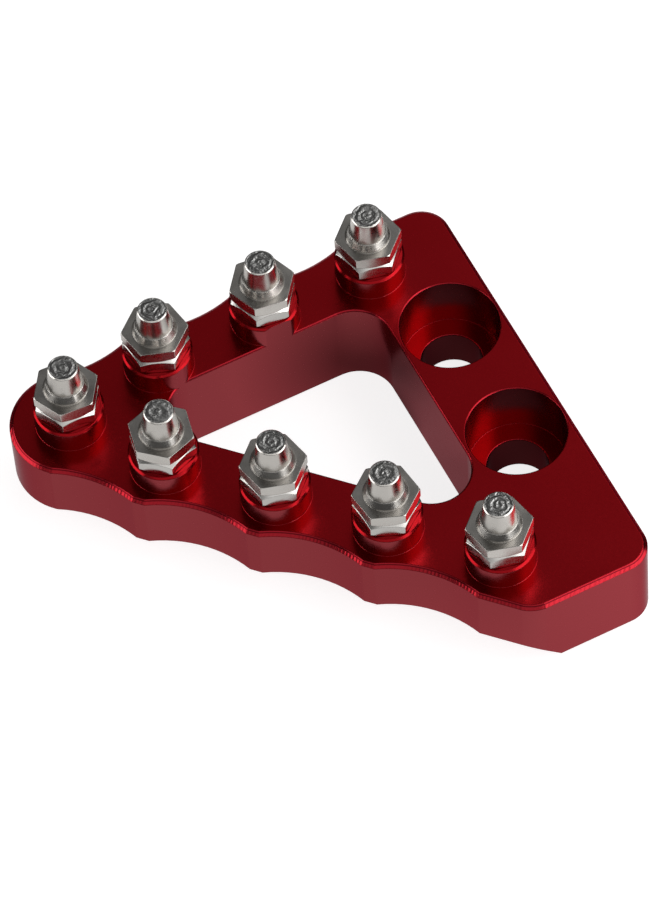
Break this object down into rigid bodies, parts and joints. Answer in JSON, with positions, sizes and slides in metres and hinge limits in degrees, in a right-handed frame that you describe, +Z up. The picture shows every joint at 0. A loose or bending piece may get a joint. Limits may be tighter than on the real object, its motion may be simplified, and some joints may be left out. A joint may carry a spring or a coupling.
{
  "type": "rear brake pedal",
  "caption": "Open triangular step plate for a rear brake pedal, with scalloped arms carrying conical grip studs on lock nuts and a bar with counterbored mounting holes.",
  "frame": {"origin": "midway between the two mounting holes, on the flat underside of the bar", "axes": "+Z up out of the tread along the studs, +Y along the mounting bar towards the back arm, +X away from the stud tip"},
  "size_m": [0.0579, 0.0556, 0.0237],
  "materials": {
    "plate": "machined and red anodised, glossy",
    "stud": "turned stainless",
    "lock_nut": "bright stainless"
  },
  "bodies": {
    "root": {"pedal_plate": "plate", "stud_1": "stud", "stud_2": "stud", "stud_3": "stud", "stud_4": "stud", "stud_5": "stud", "stud_6": "stud", "stud_7": "stud", "stud_8": "stud", "lock_nut_1": "lock_nut", "lock_nut_2": "lock_nut", "lock_nut_3": "lock_nut", "lock_nut_4": "lock_nut", "lock_nut_5": "lock_nut", "lock_nut_6": "lock_nut", "lock_nut_7": "lock_nut", "lock_nut_8": "lock_nut"}
  },
  "joints": []
}
